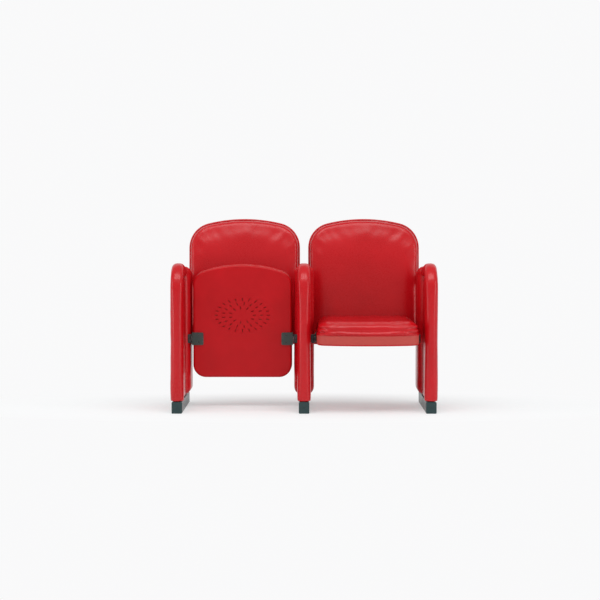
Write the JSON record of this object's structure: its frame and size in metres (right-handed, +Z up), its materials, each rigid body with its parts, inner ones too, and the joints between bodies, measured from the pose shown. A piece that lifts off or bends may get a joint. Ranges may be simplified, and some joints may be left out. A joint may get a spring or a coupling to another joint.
{
  "type": "tip up auditorium seat",
  "caption": "Pair of tip up auditorium seats with padded arms, domed padded backs and floor fixed foot bars, sharing the middle arm.",
  "frame": {"origin": "on the floor at the middle of the centre foot's two floor bolts", "axes": "+X across the pair, to the right when facing the seats from the front, +Y to the rear, +Z up"},
  "size_m": [1.254, 0.6778, 0.888],
  "materials": {
    "red_leather": "smooth grained red upholstery leather, semi gloss",
    "foot_paint": "dark green grey powder coat",
    "foot_plastic": "dark moulded plastic",
    "frame_steel": "black painted steel",
    "black_steel": "black powder coat",
    "pivot_paint": "dark green grey satin paint",
    "bush_polymer": "natural acetal",
    "stop_rubber": "black rubber",
    "plywood": "birch plywood",
    "zinc_screws": "zinc plated"
  },
  "bodies": {
    "stand": {"arm_bolster_centre": "red_leather", "arm_bolster_left": "red_leather", "arm_bolster_right": "red_leather", "arm_frame_centre": "frame_steel", "arm_frame_left": "frame_steel", "arm_frame_right": "frame_steel", "arm_panel_centre_left": "red_leather", "arm_panel_centre_right": "red_leather", "arm_panel_left_left": "red_leather", "arm_panel_left_right": "red_leather", "arm_panel_right_left": "red_leather", "arm_panel_right_right": "red_leather", "arm_roll_centre": "red_leather", "arm_roll_left": "red_leather", "arm_roll_right": "red_leather", "back_board_left": "plywood", "back_board_right": "plywood", "back_bracket_centre": "black_steel", "back_bracket_left": "black_steel", "back_bracket_right": "black_steel", "back_cover_left": "red_leather", "back_cover_right": "red_leather", "back_cushion_left": "red_leather", "back_cushion_right": "red_leather", "back_screws": "zinc_screws", "bearing_block_left_inner": "black_steel", "bearing_block_left_outer": "black_steel", "bearing_block_right_inner": "black_steel", "bearing_block_right_outer": "black_steel", "foot_caps_centre": "foot_plastic", "foot_caps_left": "foot_plastic", "foot_caps_right": "foot_plastic", "foot_centre": "foot_paint", "foot_left": "foot_paint", "foot_right": "foot_paint", "pivot_bush_left_inner": "bush_polymer", "pivot_bush_left_outer": "bush_polymer", "pivot_bush_right_inner": "bush_polymer", "pivot_bush_right_outer": "bush_polymer", "stop_stud_left_inner": "stop_rubber", "stop_stud_left_outer": "stop_rubber", "stop_stud_right_inner": "stop_rubber", "stop_stud_right_outer": "stop_rubber"},
    "left_seat": {"left_seat_board": "plywood", "left_seat_bracket_left": "pivot_paint", "left_seat_bracket_right": "pivot_paint", "left_seat_cushion": "red_leather", "left_seat_frame": "frame_steel", "left_seat_pan": "red_leather", "left_seat_screws": "zinc_screws", "left_seat_sound_panel": "red_leather"},
    "right_seat": {"right_seat_board": "plywood", "right_seat_bracket_left": "pivot_paint", "right_seat_bracket_right": "pivot_paint", "right_seat_cushion": "red_leather", "right_seat_frame": "frame_steel", "right_seat_pan": "red_leather", "right_seat_screws": "zinc_screws", "right_seat_sound_panel": "red_leather"}
  },
  "joints": [
    {"name": "left_seat_tip", "type": "hinge", "parent": "stand", "child": "left_seat", "pos_m": [-0.29, 0.024, 0.325], "axis": [1, 0, 0], "range_deg": [0, 90]},
    {"name": "right_seat_tip", "type": "hinge", "parent": "stand", "child": "right_seat", "pos_m": [0.29, 0.024, 0.325], "axis": [1, 0, 0], "range_deg": [-90, 0]}
  ]
}
